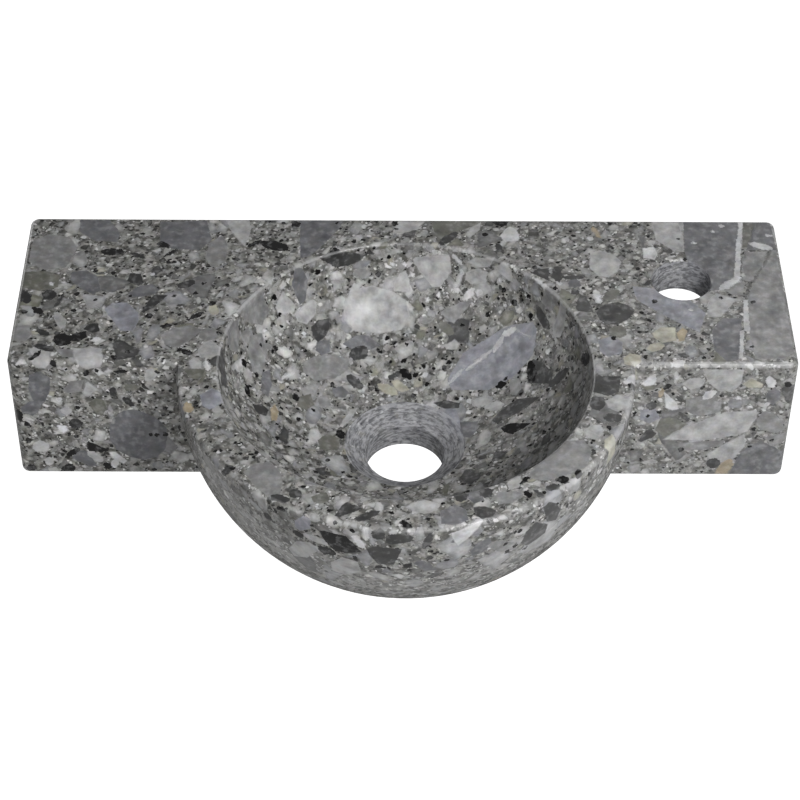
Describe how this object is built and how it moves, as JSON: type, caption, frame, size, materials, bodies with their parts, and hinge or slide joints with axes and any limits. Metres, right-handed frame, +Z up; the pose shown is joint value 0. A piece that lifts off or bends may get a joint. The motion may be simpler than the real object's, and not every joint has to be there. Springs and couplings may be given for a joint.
{
  "type": "wall-mounted stone basin",
  "caption": "Small wall-hung washbasin carved from one polished breccia stone: a round bowl on the front of a flat block with a tap hole, hung on two wall bolts.",
  "frame": {"origin": "on the wall face, midway between the two wall fixings", "axes": "+X to the right as seen from the front, along the block; +Y into the wall; +Z up"},
  "size_m": [0.45, 0.32, 0.09],
  "materials": {
    "stone": "polished",
    "nylon": "matte",
    "plug_nylon": "matte",
    "zinc_steel": "satin"
  },
  "bodies": {
    "root": {"stone_basin": "stone", "fixing_sleeves": "nylon", "hanger_bolts": "zinc_steel", "wall_washers": "zinc_steel", "wall_nuts": "zinc_steel", "wall_plugs": "plug_nylon"}
  },
  "joints": []
}
